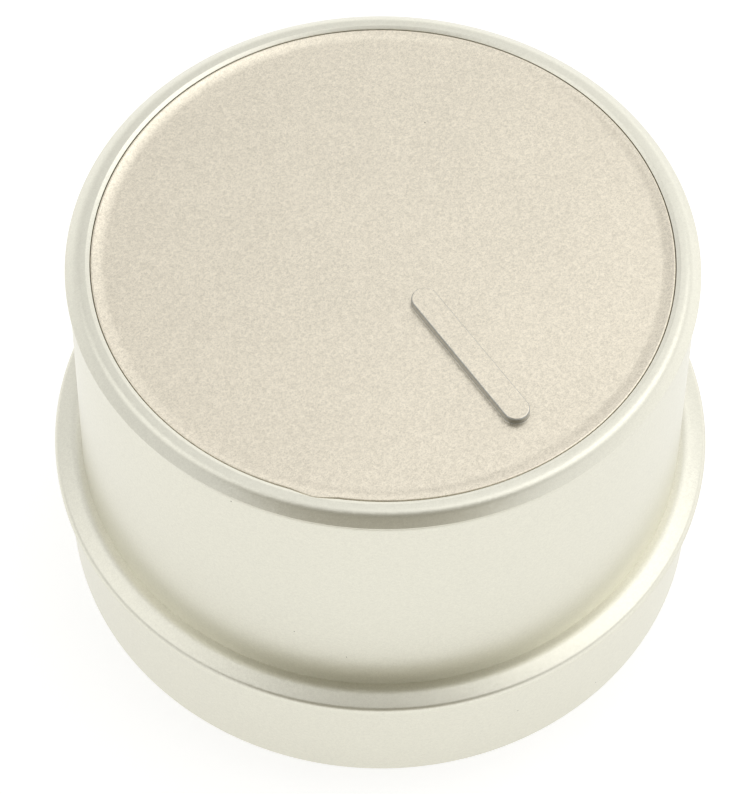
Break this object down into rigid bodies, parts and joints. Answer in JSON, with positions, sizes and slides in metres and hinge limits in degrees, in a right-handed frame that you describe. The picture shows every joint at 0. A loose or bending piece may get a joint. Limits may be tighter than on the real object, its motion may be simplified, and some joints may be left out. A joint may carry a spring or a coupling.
{
  "type": "control knob",
  "caption": "Round skirted control knob in satin silver, with a proud chamfered rim, a raised pointer bar on its flat top and a sprung D-shaft socket in a ribbed hollow underside.",
  "frame": {"origin": "centre of the skirt's bottom edge, on the shaft's axis and in the plane that faces the panel", "axes": "+Z along the shaft's axis, away from the panel; +Y the way the pointer bar points"},
  "size_m": [0.0446, 0.0446, 0.0294],
  "materials": {
    "body_silver": "satin metallic silver paint on a moulded plastic body",
    "disc_silver": "satin metallic silver paint with a fine sparkle",
    "spring_steel": "bright rolled spring steel"
  },
  "bodies": {
    "root": {"knob_body": "body_silver", "pointer_disc": "disc_silver", "shaft_spring": "spring_steel"}
  },
  "joints": []
}
